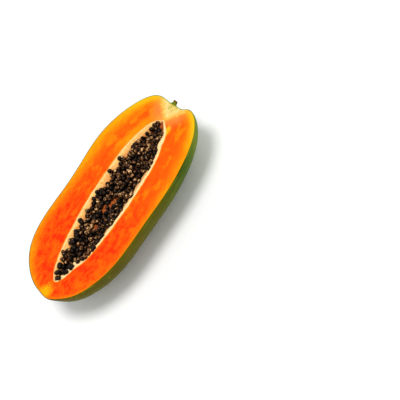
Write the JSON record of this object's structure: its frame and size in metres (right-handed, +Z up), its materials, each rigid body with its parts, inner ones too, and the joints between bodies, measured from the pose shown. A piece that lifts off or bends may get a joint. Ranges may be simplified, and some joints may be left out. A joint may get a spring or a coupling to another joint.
{
  "type": "papaya half",
  "caption": "Ripe papaya cut in half lengthwise, lying on its skin with the orange flesh and the cavity full of dark seeds facing up.",
  "frame": {"origin": "middle of the underside: centre of the bounding box at the surface that the half lies on", "axes": "+X from the blossom end to the stem end, +Y across the fruit, +Z up, out of the cut face"},
  "size_m": [0.2772, 0.1274, 0.0662],
  "materials": {
    "flesh": "moist satin",
    "skin": "waxy satin",
    "seeds": "wet gloss",
    "pulp": "wet gloss",
    "stalk": "matt"
  },
  "bodies": {
    "root": {"fruit_half": "flesh", "seeds": "seeds", "stem_stub": "stalk"}
  },
  "joints": []
}
